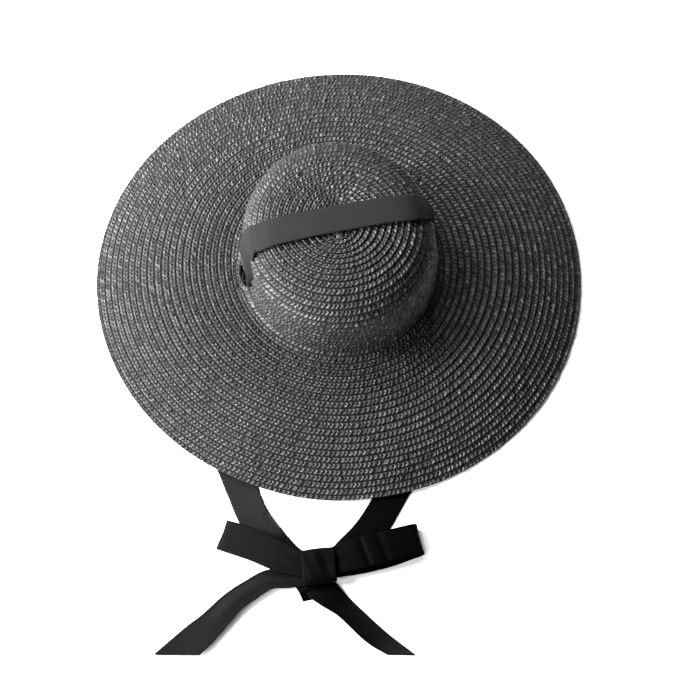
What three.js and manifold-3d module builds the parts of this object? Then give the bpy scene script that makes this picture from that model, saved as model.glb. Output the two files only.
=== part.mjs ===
// A wide-brim straw hat: a domed crown and a drooping brim of sewn straw braid, and one long ribbon.
// The ribbon lies over the crown, goes in through a slit on each side, runs out under the brim along
// the surface that the hat rests on, and is tied in a bow.
// Millimetres. +Z is up and z = 0 is the surface the hat rests on. The ears are towards -X and +X.
import * as THREE from "three";
import { mergeVertices } from "three/addons/utils/BufferGeometryUtils.js";
import Module from "manifold-3d";

const wasm = await Module();
wasm.setup();

// Straw braid
const STRAW_THICKNESS = 2;
const AROUND = 72; // facets round the hat

// Crown: reach is the distance from the axis towards the front or the back
const CROWN_TOP = 104;
const CROWN_FLAT = 16; // reach of the flat button in the middle of the top
const DOME_REACH = 99;
const DOME_FOOT = 62; // height at which the shoulder has turned into the wall
const DOME_POWER = 3.15; // superellipse: flat top, round shoulder
const DOME_STEPS = 9;
const WALL_FOOT_REACH = 100;
const WALL_FOOT = 33;
const COVE_RADIUS = 8; // hollow curve from the wall to the brim
const COVE_STEPS = 3;
const ROUND_REACH = 50; // the top is round up to here, and oval further out
const SHOULDER_OVAL = 0.905; // width over length at the shoulder
const FOOT_OVAL = 0.935; // width over length at the foot of the wall

// Brim
const SEAM_GAP = 0.3; // between the crown's last row and the brim's first
const BRIM_RADIUS = 234.3;
const BRIM_RISE = 23; // how far the edge droops below the foot of the crown
const BRIM_POWER = 2.2; // level near the crown, steepest at the edge
const REST_SHARE = 0.975; // from this share outward the underside is a level rim to rest on
const BRIM_SHARES = [0, 0.15, 0.3, 0.43, 0.55, 0.66, 0.76, 0.85, 0.92, REST_SHARE, 1];
// The edge isn't quite a circle: slow waves of its radius, each with its size and where it peaks
const EDGE_WAVES = [
  { lobes: 1, size: 0.6, peak: -3 },
  { lobes: 2, size: 1.2, peak: -10 },
  { lobes: 3, size: 1.2, peak: 118 },
];
// The edge lifts a little where a ribbon passes under it
const LIFT = 2.8;
const LIFT_HALF_ANGLE = 15;
const LIFT_ANGLES = [-125.2, -90.8];

// Ribbon
const RIBBON_WIDTH = 28;
const RIBBON_THICKNESS = 1;
const RIBBON_CLEARANCE = 0.4;
const RIBBON_TILT = 7; // degrees: over the crown the front edge stands a little proud
const SLIT_LENGTH = 31;
const SLIT_HEIGHT = 3.4;
const SLIT_MIDDLE = 34.8;
const FLOOR_LEVEL = 0.8; // middle of a ribbon that lies flat

// Bow, in a frame of its own: x along the loops, y towards the hat
const BOW_AT = [-80.5, -285.3];
const BOW_TURN = -12;
const KNOT_HALF = [17.5, 16, 6.8];
const KNOT_LEVEL = 7.2;
const KNOT_CLEARANCE = 0.35;
const TAIL_CUT = -77; // both tails are cut off along this line
const TAIL_CUT_LEAN = 12; // degrees: the cut slants, further out where a tail is raised

const radians = THREE.MathUtils.degToRad;
const smooth = THREE.MathUtils.smoothstep;

const strawMaterial = () =>
  new THREE.MeshStandardMaterial({ name: "straw", color: 0x2f3031, roughness: 0.45, metalness: 0 });
const ribbonMaterial = () =>
  new THREE.MeshStandardMaterial({ name: "ribbon", color: 0x151517, roughness: 0.6, metalness: 0 });

// ---- Closed meshes from point grids ----

function geometryOf(points, triangles) {
  const geometry = new THREE.BufferGeometry();
  const numbers = new Float32Array(points.flatMap((p) => [p.x, p.y, p.z]));
  geometry.setAttribute("position", new THREE.BufferAttribute(numbers, 3));
  geometry.setIndex(triangles.flat());
  return geometry;
}

const quad = (a, b, c, d) => [[a, b, c], [a, c, d]];

// A wall round the axis, from rings of outer points and rings of inner points, first ring highest or
// innermost. With a tip, the first rings close to a point on the axis; without one, a rim joins them.
function wallGeometry(outer, inner, tip) {
  const points = [...outer.flat(), ...inner.flat()];
  const rings = outer.length;
  const at = (side, ring, i) => (side * rings + ring) * AROUND + (i % AROUND);
  const triangles = [];
  for (let i = 0; i < AROUND; i++) {
    for (let ring = 0; ring + 1 < rings; ring++) {
      triangles.push(...quad(at(0, ring, i), at(0, ring + 1, i), at(0, ring + 1, i + 1), at(0, ring, i + 1)));
      triangles.push(...quad(at(1, ring, i + 1), at(1, ring + 1, i + 1), at(1, ring + 1, i), at(1, ring, i)));
    }
    const last = rings - 1;
    triangles.push(...quad(at(0, last, i), at(1, last, i), at(1, last, i + 1), at(0, last, i + 1)));
    if (!tip) triangles.push(...quad(at(0, 0, i + 1), at(1, 0, i + 1), at(1, 0, i), at(0, 0, i)));
  }
  if (tip) {
    points.push(tip.outer, tip.inner);
    const [top, below] = [points.length - 2, points.length - 1];
    for (let i = 0; i < AROUND; i++) {
      triangles.push([top, at(0, 0, i), at(0, 0, i + 1)]);
      triangles.push([below, at(1, 0, i + 1), at(1, 0, i)]);
    }
  }
  return geometryOf(points, triangles);
}

// ---- Crown and brim ----

// Distance from the axis to an oval of this reach, at an angle round it
function ovalRadius(reach, oval, angle) {
  return reach / Math.hypot(Math.cos(angle) / oval, Math.sin(angle));
}

// Rows of the crown's outer face from the top down: reach, height, oval, and its outward direction as
// a part away from the axis and a part upward
function crownRows() {
  const rows = [{ reach: CROWN_FLAT, z: CROWN_TOP, oval: 1, away: 0, up: 1 }];
  const height = CROWN_TOP - DOME_FOOT;
  for (let i = 1; i <= DOME_STEPS; i++) {
    const angle = (i / DOME_STEPS) * (Math.PI / 2);
    const along = Math.sin(angle) ** (2 / DOME_POWER);
    const upward = i === DOME_STEPS ? 0 : Math.cos(angle) ** (2 / DOME_POWER);
    const reach = DOME_REACH * along;
    const away = along ** (DOME_POWER - 1) / DOME_REACH;
    const up = upward ** (DOME_POWER - 1) / height;
    const oval = 1 - (1 - SHOULDER_OVAL) * smooth(reach, ROUND_REACH, DOME_REACH);
    rows.push({ reach, z: DOME_FOOT + height * upward, oval, away, up });
  }
  rows.push({ reach: WALL_FOOT_REACH, z: WALL_FOOT, oval: FOOT_OVAL, away: 1, up: 0 });
  for (let i = 1; i <= COVE_STEPS; i++) {
    const angle = (i / COVE_STEPS) * (Math.PI / 2);
    const reach = WALL_FOOT_REACH + COVE_RADIUS * (1 - Math.cos(angle));
    const z = WALL_FOOT - COVE_RADIUS * Math.sin(angle);
    rows.push({ reach, z, oval: FOOT_OVAL, away: Math.cos(angle), up: Math.sin(angle) });
  }
  return rows;
}

function crownRing(row, depth) {
  const length = Math.hypot(row.away, row.up);
  const away = (depth * row.away) / length;
  const up = (depth * row.up) / length;
  return Array.from({ length: AROUND }, (_, i) => {
    const angle = (i / AROUND) * 2 * Math.PI;
    const radius = ovalRadius(row.reach, row.oval, angle);
    const facing = Math.atan2(Math.sin(angle) * row.oval, Math.cos(angle) / row.oval);
    return new THREE.Vector3(
      radius * Math.cos(angle) - away * Math.cos(facing),
      radius * Math.sin(angle) - away * Math.sin(facing),
      row.z - up,
    );
  });
}

function crownGeometry() {
  const rows = crownRows();
  const tip = {
    outer: new THREE.Vector3(0, 0, CROWN_TOP),
    inner: new THREE.Vector3(0, 0, CROWN_TOP - STRAW_THICKNESS),
  };
  const outer = rows.map((row) => crownRing(row, 0));
  const inner = rows.map((row) => crownRing(row, STRAW_THICKNESS));
  return wallGeometry(outer, inner, tip);
}

function edgeRadius(angle) {
  return EDGE_WAVES.reduce(
    (sum, wave) => sum + wave.size * Math.cos(wave.lobes * angle - radians(wave.peak)),
    BRIM_RADIUS,
  );
}

function edgeLift(angle) {
  const lifts = LIFT_ANGLES.map((middle) => {
    const turn = THREE.MathUtils.euclideanModulo(angle - radians(middle) + Math.PI, 2 * Math.PI) - Math.PI;
    const share = Math.min(Math.abs(turn) / radians(LIFT_HALF_ANGLE), 1);
    return LIFT * Math.cos((share * Math.PI) / 2) ** 2;
  });
  return Math.max(...lifts);
}

// A point of the brim's top, or of its underside, at a share of the way from the crown to the edge
function brimPoint(share, angle, under) {
  const first = ovalRadius(WALL_FOOT_REACH + COVE_RADIUS + SEAM_GAP, FOOT_OVAL, angle);
  const span = edgeRadius(angle) - first;
  const slope = (BRIM_RISE * BRIM_POWER * share ** (BRIM_POWER - 1)) / span;
  const depth = under ? STRAW_THICKNESS / Math.hypot(1, slope) : 0;
  const foot = WALL_FOOT - COVE_RADIUS;
  const radius = first + span * share - depth * slope;
  const drooped = foot - BRIM_RISE * share ** BRIM_POWER - depth;
  const lift = edgeLift(angle) * share ** 4;
  const z = under && share >= REST_SHARE ? 0 : drooped;
  return new THREE.Vector3(radius * Math.cos(angle), radius * Math.sin(angle), z + lift);
}

function brimGeometry() {
  const ring = (share, under) =>
    Array.from({ length: AROUND }, (_, i) => brimPoint(share, (i / AROUND) * 2 * Math.PI, under));
  const top = BRIM_SHARES.map((share) => ring(share, false));
  const underside = BRIM_SHARES.map((share) => ring(share, true));
  return wallGeometry(top, underside, null);
}

// ---- Ribbon ----

// A ribbon along stations, each with its middle, the direction across it and its width
function ribbonGeometry(stations) {
  const points = [];
  stations.forEach((station, i) => {
    const before = stations[Math.max(i - 1, 0)].middle;
    const after = stations[Math.min(i + 1, stations.length - 1)].middle;
    const along = after.clone().sub(before).normalize();
    const face = new THREE.Vector3().crossVectors(along, station.across).normalize();
    const across = new THREE.Vector3().crossVectors(face, along).multiplyScalar(station.width / 2);
    face.multiplyScalar(RIBBON_THICKNESS / 2);
    points.push(station.middle.clone().add(across).add(face));
    points.push(station.middle.clone().sub(across).add(face));
    points.push(station.middle.clone().sub(across).sub(face));
    points.push(station.middle.clone().add(across).sub(face));
  });
  const triangles = [];
  for (let i = 0; i + 1 < stations.length; i++) {
    for (let side = 0; side < 4; side++) {
      const next = (side + 1) % 4;
      triangles.push(...quad(4 * i + side, 4 * i + next, 4 * i + 4 + next, 4 * i + 4 + side));
    }
  }
  const end = 4 * (stations.length - 1);
  triangles.push(...quad(0, 3, 2, 1), ...quad(end, end + 1, end + 2, end + 3));
  return geometryOf(points, triangles);
}

// Stations on a smooth curve through the rows of a table. The columns are x, y and z of the ribbon's
// middle, the heading of the direction across it in degrees from +X, its tilt above level in degrees,
// and the width, which is less than the ribbon's where it is gathered.
function stationsThrough(table, steps) {
  const curve = new THREE.CatmullRomCurve3(
    table.map(([x, y, z]) => new THREE.Vector3(x, y, z)),
    false,
    "centripetal",
  );
  return Array.from({ length: steps + 1 }, (_, i) => {
    const place = (i / steps) * (table.length - 1);
    const row = Math.min(Math.floor(place), table.length - 2);
    const blend = (column) => THREE.MathUtils.lerp(table[row][column], table[row + 1][column], place - row);
    const heading = radians(blend(3));
    const tilt = radians(blend(4));
    const across = new THREE.Vector3(
      Math.cos(tilt) * Math.cos(heading),
      Math.cos(tilt) * Math.sin(heading),
      Math.sin(tilt),
    );
    return { middle: curve.getPoint(i / steps), across, width: blend(5) };
  });
}

// Over the crown: up one wall from its slit, over the top, and down into the other slit, in the plane
// of the ears. The entry's points are x and z, from the free end inside to just outside the slit.
function crownRibbonStations() {
  const half = RIBBON_THICKNESS / 2 + RIBBON_CLEARANCE;
  const rise = Math.sin(radians(RIBBON_TILT)) * (RIBBON_WIDTH / 2);
  const wall = WALL_FOOT_REACH * FOOT_OVAL;
  const entry = [
    [wall - 5.6, SLIT_MIDDLE - 3.6],
    [wall - 4.9, SLIT_MIDDLE - 0.7],
    [wall - 2.6, SLIT_MIDDLE],
    [wall + 0.4, SLIT_MIDDLE + 0.1],
    [wall + 1.3, SLIT_MIDDLE + 2.2],
  ];
  const climb = crownRows()
    .filter((row) => row.z > SLIT_MIDDLE + 4)
    .reverse()
    .map((row) => {
      const away = row.away / row.oval;
      const up = row.up;
      const length = Math.hypot(away, up);
      const lift = half + rise * (up / length) ** 2;
      return [row.reach * row.oval + (lift * away) / length, row.z + (lift * up) / length];
    });
  const right = [...entry, ...climb];
  const left = right.map(([x, z]) => [-x, z]);
  const [, top] = right[right.length - 1];
  const path = [...left, [0, top], ...right.reverse()];
  return path.map(([x, z]) => {
    const tilt = radians(RIBBON_TILT) * (1 - smooth(Math.abs(x), 60, 88));
    const across = new THREE.Vector3(0, Math.cos(tilt), -Math.sin(tilt));
    return { middle: new THREE.Vector3(x, 0, z), across, width: RIBBON_WIDTH };
  });
}

const W = RIBBON_WIDTH;
const F = FLOOR_LEVEL;

// From each slit down inside the crown, out under the brim and on to the knot.
// Columns: x, y, z, heading, tilt, width
const TIE_LEFT = [
  [-87.9, 0, 30.2, 90, 0, W],
  [-88.1, 0, 24.5, 96, 0, W],
  [-89.2, -2, 16, 114, 0, W],
  [-92.5, -7, 8, 131, 0, W],
  [-99, -16, 2.6, 141, 0, W],
  [-109, -31, F, 147, 0, W],
  [-124, -60, F, 156, 0, W],
  [-136, -94, F, 166, 0, W],
  [-142, -128, F, 177, 0, W],
  [-141, -154, F, 186, 0, W],
  [-136.5, -177, F, 192, 0, W],
  [-131.5, -203, F, 193, 0, W],
  [-126.3, -227, F, 198, 0, W],
  [-114, -251, F, 210, 0, 25],
  [-100, -269.5, 1.5, 218, 0, 19],
  [-88.5, -279.5, 3, 222, 0, 12],
];
const TIE_RIGHT = [
  [87.9, 0, 30.2, 90, 0, W],
  [88.1, 0, 24.5, 84, 0, W],
  [89.2, -2.4, 16, 60, 0, W],
  [92.5, -9, 8, 38, 0, W],
  [97.5, -20, 2.6, 20, 0, W],
  [102, -38, F, 3, 0, W],
  [101, -68, F, -12, 0, W],
  [89, -105, F, -23, 0, W],
  [71, -141, F, -31, 0, W],
  [50, -173, F, -37, 0, W],
  [27, -201.5, F, -41, 0, W],
  [4.6, -226.8, F, -42, 0, W],
  [-10.8, -244.3, F, -43, 0, W],
  [-29.4, -262.6, F, -48, 0, W],
  [-53.5, -277.5, 1.6, -57, 0, 24],
  [-68, -287, 3.2, -60, 0, 16],
];

// Pieces of the bow, in the bow's own frame. A loop leaves the knot on its lower layer, turns back at
// its end and comes home on its upper layer. Columns: x, y, z, heading, tilt, width
const LOOP_LEFT = [
  [-8, 1, 5.6, 76, 0, 20],
  [-20, 6.5, 4.8, 72, 0, 23],
  [-38, 13.6, 3.4, 69, 0, 27],
  [-60, 21.8, 2.6, 69, 0, W],
  [-74, 27, 2.6, 70.5, 0, W],
  [-80.6, 29.2, 3.2, 72, 0, W],
  [-82.6, 29.6, 5, 72, 0, W],
  [-80.6, 28.8, 6.8, 72, 0, W],
  [-72, 25.2, 8.6, 70, 0, W],
  [-54, 17.6, 10.8, 68, 0, W],
  [-36, 9, 11.8, 70, 0, 27],
  [-20, 2.6, 10.6, 73, 0, 23],
  [-8, 0, 8.4, 76, 0, 20],
];
const LOOP_RIGHT = [
  [8, 1.5, 5.2, -76, 0, 22],
  [18, 3.4, 4.6, -75, 0, 25],
  [36, 7.6, 3.4, -75, 0, W],
  [61, 14, 2.6, -76, 0, W],
  [82, 21.5, 2.6, -76.5, 0, W],
  [89.4, 24, 3.4, -77, 0, W],
  [91.6, 25, 5.8, -77, 0, W],
  [89.6, 25, 8.4, -77, 0, W],
  [81, 22.6, 10.4, -76.5, 0, W],
  [62, 17, 12.8, -76, 0, W],
  [38, 10.4, 13.2, -75, 0, W],
  [20, 5.6, 11.2, -75, 0, 26],
  [8, 3, 8.8, -76, 0, 22],
];
const TAIL_LEFT = [
  [-8, -9.6, 4.2, 76, 0, 12],
  [-24, -10.4, 3.9, 84, -8, 15],
  [-41.8, -11.5, 5.5, 90, -32, 18],
  [-57.8, -21.1, 6.2, 121, -30, 22],
  [-73.3, -32.4, 7.9, 130, -35, 25],
  [-91, -51.6, 5.2, 130, -18, W],
  [-104.4, -63.4, 2.7, 131, -8, W],
  [-129.7, -85.8, F, 132, 0, W],
];
const TAIL_RIGHT = [
  [0, -13, 1.9, 31, 0, 24],
  [5, -19.5, 3.6, 32, -10, 27],
  [13.5, -28, 7.6, 42, -26, W],
  [27, -39.8, 10.4, 47, -42, W],
  [52.9, -63.6, 10.2, 49, -40, W],
  [80.3, -82.6, 12.6, 49, -55, W],
  [99.5, -96.2, 12.6, 49, -55, W],
];

// The knot: a small firm roll of ribbon, between a ball and a block
function knotGeometry(growth) {
  const geometry = new THREE.SphereGeometry(1, 20, 12);
  const position = geometry.getAttribute("position");
  const squared = (value) => Math.sign(value) * Math.abs(value) ** 0.7;
  for (let i = 0; i < position.count; i++) {
    const x = squared(position.getX(i)) * (KNOT_HALF[0] + growth);
    const y = squared(position.getZ(i)) * -(KNOT_HALF[1] + growth);
    const z = squared(position.getY(i)) * (KNOT_HALF[2] + growth);
    position.setXYZ(i, x, y, z + KNOT_LEVEL);
  }
  return geometry;
}

// ---- Cutting ----

function toSolid(geometry, matrix) {
  const plain = geometry.clone();
  if (matrix) plain.applyMatrix4(matrix);
  plain.deleteAttribute("normal");
  plain.deleteAttribute("uv");
  const merged = mergeVertices(plain, 1e-4);
  return new wasm.Manifold(
    new wasm.Mesh({
      numProp: 3,
      vertProperties: merged.getAttribute("position").array,
      triVerts: new Uint32Array(merged.getIndex().array),
    }),
  );
}

function toGeometry(solid) {
  const mesh = solid.getMesh();
  const geometry = new THREE.BufferGeometry();
  geometry.setAttribute("position", new THREE.BufferAttribute(mesh.vertProperties, 3));
  geometry.setIndex(new THREE.BufferAttribute(mesh.triVerts, 1));
  return geometry;
}

const cut = (geometry, ...cutters) =>
  toGeometry(cutters.reduce((solid, cutter) => solid.subtract(cutter), toSolid(geometry)));

function slitCutter(side) {
  const box = new THREE.BoxGeometry(STRAW_THICKNESS * 6, SLIT_LENGTH, SLIT_HEIGHT);
  box.translate(side * WALL_FOOT_REACH * FOOT_OVAL, 0, SLIT_MIDDLE);
  return toSolid(box);
}

function tailCutter() {
  const depth = 100;
  const box = new THREE.BoxGeometry(400, depth, 100);
  box.translate(0, -depth / 2, 0);
  box.rotateX(radians(TAIL_CUT_LEAN));
  box.translate(0, TAIL_CUT, 0);
  return toSolid(box);
}

// ---- The hat ----

function meshOf(name, geometry, material) {
  const mesh = new THREE.Mesh(geometry, material);
  mesh.name = name;
  return mesh;
}

const hat = new THREE.Group();
hat.name = "hat";
hat.add(meshOf("crown", cut(crownGeometry(), slitCutter(-1), slitCutter(1)), strawMaterial()));
hat.add(meshOf("brim", brimGeometry(), strawMaterial()));
hat.add(meshOf("crown_ribbon", ribbonGeometry(crownRibbonStations()), ribbonMaterial()));

const bow = new THREE.Group();
bow.position.set(BOW_AT[0], BOW_AT[1], 0);
bow.rotation.z = radians(BOW_TURN);
bow.updateMatrix();
const knotRoom = toSolid(knotGeometry(KNOT_CLEARANCE));
const knotRoomInHat = toSolid(knotGeometry(KNOT_CLEARANCE), bow.matrix);

const ties = { tie_left: TIE_LEFT, tie_right: TIE_RIGHT };
for (const [name, table] of Object.entries(ties)) {
  const whole = ribbonGeometry(stationsThrough(table, 42));
  hat.add(meshOf(name, cut(whole, knotRoomInHat), ribbonMaterial()));
}
const loops = { bow_loop_left: LOOP_LEFT, bow_loop_right: LOOP_RIGHT };
for (const [name, table] of Object.entries(loops)) {
  const whole = ribbonGeometry(stationsThrough(table, 36));
  bow.add(meshOf(name, cut(whole, knotRoom), ribbonMaterial()));
}
const tails = { bow_tail_left: TAIL_LEFT, bow_tail_right: TAIL_RIGHT };
for (const [name, table] of Object.entries(tails)) {
  const whole = ribbonGeometry(stationsThrough(table, 24));
  bow.add(meshOf(name, cut(whole, knotRoom, tailCutter()), ribbonMaterial()));
}
bow.add(meshOf("bow_knot", knotGeometry(0), ribbonMaterial()));
hat.add(bow);

export default hat;
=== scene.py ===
"""A wide-brim hat of sewn straw braid with one long ribbon, resting on its brim on a pale floor.

The scene is in metres. +Z is up, the floor is z = 0, and the bow lies towards -Y. Sizes below are in
millimetres, and add_mesh turns them into metres.
"""

import math

import bpy
import numpy as np
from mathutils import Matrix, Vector


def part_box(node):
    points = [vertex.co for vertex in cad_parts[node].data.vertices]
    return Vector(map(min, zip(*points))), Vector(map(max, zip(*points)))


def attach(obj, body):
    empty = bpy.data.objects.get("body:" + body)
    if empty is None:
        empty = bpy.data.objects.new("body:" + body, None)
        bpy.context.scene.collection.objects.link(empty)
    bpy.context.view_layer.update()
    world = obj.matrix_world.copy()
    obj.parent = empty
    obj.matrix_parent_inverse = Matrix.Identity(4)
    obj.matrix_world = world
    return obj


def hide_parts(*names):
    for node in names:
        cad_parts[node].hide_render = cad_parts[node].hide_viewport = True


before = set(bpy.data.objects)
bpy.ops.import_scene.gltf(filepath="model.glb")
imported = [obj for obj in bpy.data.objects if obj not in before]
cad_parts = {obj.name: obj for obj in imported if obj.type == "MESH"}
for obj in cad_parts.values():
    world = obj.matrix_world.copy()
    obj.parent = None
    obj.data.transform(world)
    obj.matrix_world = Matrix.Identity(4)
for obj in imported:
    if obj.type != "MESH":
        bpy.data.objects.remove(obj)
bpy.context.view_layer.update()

MM = 0.001
TAU = 2 * math.pi
rng = np.random.default_rng(7)  # places and tones of the plaits

# ---------------------------------------------------------------- camera

CAMERA_AT = (-0.12225, -0.6243, 1.2077)
CAMERA_DOWN = 65.39  # degrees below level
CAMERA_TURN = -12  # degrees round the hat's axis
CAMERA_LENS = 72
CAMERA_SENSOR = 36


def add_camera():
    data = bpy.data.cameras.new("camera")
    data.lens = CAMERA_LENS
    data.sensor_width = CAMERA_SENSOR
    camera = bpy.data.objects.new("camera", data)
    bpy.context.scene.collection.objects.link(camera)
    camera.location = CAMERA_AT
    camera.rotation_euler = (math.radians(90 - CAMERA_DOWN), 0, math.radians(CAMERA_TURN))
    bpy.context.scene.camera = camera


add_camera()

# ---------------------------------------------------------------- sizes, in millimetres and degrees

# The crown's outer face: a dome, then a wall that leans out a little, then the cove at its foot
CROWN_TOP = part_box("crown")[1].z / MM
DOME_REACH = 99
DOME_FOOT = 62
DOME_POWER = 3.15  # 2 is an ellipse, more is squarer
WALL_FOOT_REACH = 100
WALL_FOOT = 33
COVE_RADIUS = 8
# Width over length, at the shoulder and at the foot. The top is round as far as ROUND_REACH.
SHOULDER_OVAL = 0.905
FOOT_OVAL = 0.935
ROUND_REACH = 50
DOME_STATIONS = 400
WALL_STATIONS = 30
COVE_STATIONS = 24

# The brim's outer face falls from the cove to its edge
SEAM_GAP = 0.3
BRIM_RADIUS = 234.3
BRIM_RISE = 23
BRIM_POWER = 2.2
EDGE_WAVES = ((1, 0.6, -3), (2, 1.2, -10), (3, 1.2, 118))  # lobes, size, peak in degrees
# Where the ties come out under it, the edge is lifted
LIFT = 2.8
LIFT_HALF_ANGLE = 15
LIFT_ANGLES = (-125.2, -90.8)
LIFT_POWER = 4

RIBBON_WIDTH = 28
BOW_AT = (-80.5, -285.3)  # where the bow's own frame lies in the hat's
BOW_TURN = -12
# The tails are cut straight, at this Y of the bow's own frame, and end just short of the cut
TAIL_CUT = -77
TAIL_CUT_LEAN = 12
TAIL_CUT_SHORT = 0.4


# ---------------------------------------------------------------- the hat's surfaces

def smooth(value, low, high):
    """A soft step from 0 at low to 1 at high."""
    share = np.clip((value - low) / (high - low), 0, 1)
    return share * share * (3 - 2 * share)


def distances(points):
    """Distances along a path of points, from its first."""
    return np.concatenate([[0], np.cumsum(np.linalg.norm(np.diff(points, axis=0), axis=1))])


def crown_profile():
    """Reach, height and oval of the crown's outer face, by distance along it from the tip."""
    turn = np.linspace(0, math.pi / 2, DOME_STATIONS)
    power = 2 / DOME_POWER
    reach = DOME_REACH * np.sin(turn) ** power
    z = DOME_FOOT + (CROWN_TOP - DOME_FOOT) * np.cos(turn).clip(0) ** power
    oval = 1 - (1 - SHOULDER_OVAL) * smooth(reach, ROUND_REACH, DOME_REACH)
    down = np.linspace(0, 1, WALL_STATIONS)[1:]
    cove = np.linspace(0, math.pi / 2, COVE_STATIONS)[1:]
    reach = np.concatenate([
        reach,
        DOME_REACH + (WALL_FOOT_REACH - DOME_REACH) * down,
        WALL_FOOT_REACH + COVE_RADIUS * (1 - np.cos(cove)),
    ])
    z = np.concatenate([
        z,
        DOME_FOOT + (WALL_FOOT - DOME_FOOT) * down,
        WALL_FOOT - COVE_RADIUS * np.sin(cove),
    ])
    oval = np.concatenate([
        oval,
        SHOULDER_OVAL + (FOOT_OVAL - SHOULDER_OVAL) * down,
        np.full(len(cove), FOOT_OVAL),
    ])
    along = np.concatenate([[0], np.cumsum(np.hypot(np.diff(reach), np.diff(z)))])
    return along, reach, z, oval


PROFILE = crown_profile()
CROWN_LENGTH = PROFILE[0][-1]


def oval_radius(reach, oval, angle):
    """Radius at an angle of an oval that reaches this far forward and back, and less far sideways."""
    return reach / np.hypot(np.cos(angle) / oval, np.sin(angle))


def crown_surface(along, angle):
    """Points of the crown's outer face at distances along it from the tip."""
    distance, reach, z, oval = PROFILE
    radius = oval_radius(np.interp(along, distance, reach), np.interp(along, distance, oval), angle)
    return np.stack([radius * np.cos(angle), radius * np.sin(angle), np.interp(along, distance, z)], -1)


def edge_radius(angle):
    """Radius of the brim's edge, which is a little out of round."""
    return BRIM_RADIUS + sum(
        size * np.cos(lobes * angle - math.radians(peak)) for lobes, size, peak in EDGE_WAVES
    )


def edge_lift(angle):
    """How far the ties lift the brim's edge."""
    lift = 0
    for middle in LIFT_ANGLES:
        turn = np.mod(angle - math.radians(middle) + math.pi, TAU) - math.pi
        share = np.minimum(np.abs(turn) / math.radians(LIFT_HALF_ANGLE), 1)
        lift = np.maximum(lift, LIFT * np.cos(share * math.pi / 2) ** 2)
    return lift


def brim_surface(share, angle):
    """Points of the brim's outer face, at shares of the way from its root to its edge."""
    first = oval_radius(WALL_FOOT_REACH + COVE_RADIUS + SEAM_GAP, FOOT_OVAL, angle)
    radius = first + (edge_radius(angle) - first) * share
    out = np.maximum(share, 0)
    z = WALL_FOOT - COVE_RADIUS - BRIM_RISE * out**BRIM_POWER + edge_lift(angle) * out**LIFT_POWER
    return np.stack([radius * np.cos(angle), radius * np.sin(angle), z], -1)


# ---------------------------------------------------------------- meshes

def add_mesh(name, points, quads, attributes):
    """A smooth mesh object on the root body, from points in millimetres, quads and values by point."""
    mesh = bpy.data.meshes.new(name)
    quads = np.asarray(quads)
    mesh.vertices.add(len(points))
    mesh.vertices.foreach_set("co", (np.asarray(points) * MM).astype(np.float32).ravel())
    mesh.loops.add(quads.size)
    mesh.loops.foreach_set("vertex_index", quads.astype(np.int32).ravel())
    mesh.polygons.add(len(quads))
    mesh.polygons.foreach_set("loop_start", np.arange(0, quads.size, quads.shape[1], dtype=np.int32))
    mesh.polygons.foreach_set("use_smooth", np.ones(len(quads), dtype=bool))
    mesh.update(calc_edges=True)
    for key, values in attributes.items():
        layer = mesh.attributes.new(key, "FLOAT", "POINT")
        layer.data.foreach_set("value", np.asarray(values, dtype=np.float32).ravel())
    mesh.validate()
    piece = bpy.data.objects.new(name, mesh)
    bpy.context.scene.collection.objects.link(piece)
    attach(piece, "root")
    return piece


def tube_quads(columns, around):
    """Quads of a closed tube: columns of `around` points each, joined along; the ends stay open."""
    j = np.arange(columns - 1)[:, None]
    i = np.arange(around)[None, :]
    k = (i + 1) % around
    corners = (j * around + i, j * around + k, (j + 1) * around + k, (j + 1) * around + i)
    return np.stack(corners, -1).reshape(-1, 4)


def joining_quads(columns, around):
    """Quads that join a tube's last column to its first."""
    i = np.arange(around)
    k = (i + 1) % around
    last = (columns - 1) * around
    return np.stack([last + i, last + k, k, i], -1)


def strip_caps(columns, across):
    """Quads that close both ends of a tube whose section is `across` points out and as many back."""
    around = 2 * across
    i = np.arange(across - 1)
    first = np.stack([i, i + 1, around - 2 - i, around - 1 - i], -1)[:, ::-1]
    last = first[:, ::-1] + (columns - 1) * around
    return np.concatenate([first, last])


# ---------------------------------------------------------------- materials

def new_material(name):
    """A material, its nodes and links, and its shader."""
    material = bpy.data.materials.new(name)
    material.use_nodes = True
    nodes = material.node_tree.nodes
    return material, nodes, material.node_tree.links, nodes["Principled BSDF"]


def add_node(nodes, kind, **values):
    """A node, with its settings first and then the values of its inputs."""
    node = nodes.new(kind)
    for key, value in values.items():
        if key in node.inputs:
            node.inputs[key].default_value = value
        else:
            setattr(node, key, value)
    return node


def set_inputs(node, values):
    for key, value in values.items():
        node.inputs[key].default_value = value


def map_range(nodes, ends):
    """A node that maps one range of values to another: from low, from high, to low, to high."""
    node = nodes.new("ShaderNodeMapRange")
    set_inputs(node, dict(zip(("From Min", "From Max", "To Min", "To Max"), ends)))
    return node


# Straw. A plait's colour runs from dark to light with its tone. Painted light: 1 on top, and 0 in grooves
# and creases, which are painted in shade.
STRAW_DARK = (0.002, 0.002, 0.0022, 1)
STRAW_LIGHT = (0.017, 0.0175, 0.018, 1)
# painted shade for the grooves and creases
GROOVE_PAINTED_SHADE = (0.001, 0.001, 0.001, 1)
TONE_SHARE = 0.75  # of tone and patches together, on the colour ramp
TONE_DARK_AT = 0.75  # where on the ramp the dark colour ends
STRAW_ROUGHNESS = (0.1, 0.9, 0.6, 0.3)  # from low to high tone, from rough to glossy
STRAW_SHADER = {"Specular IOR Level": 0.58}
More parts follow.
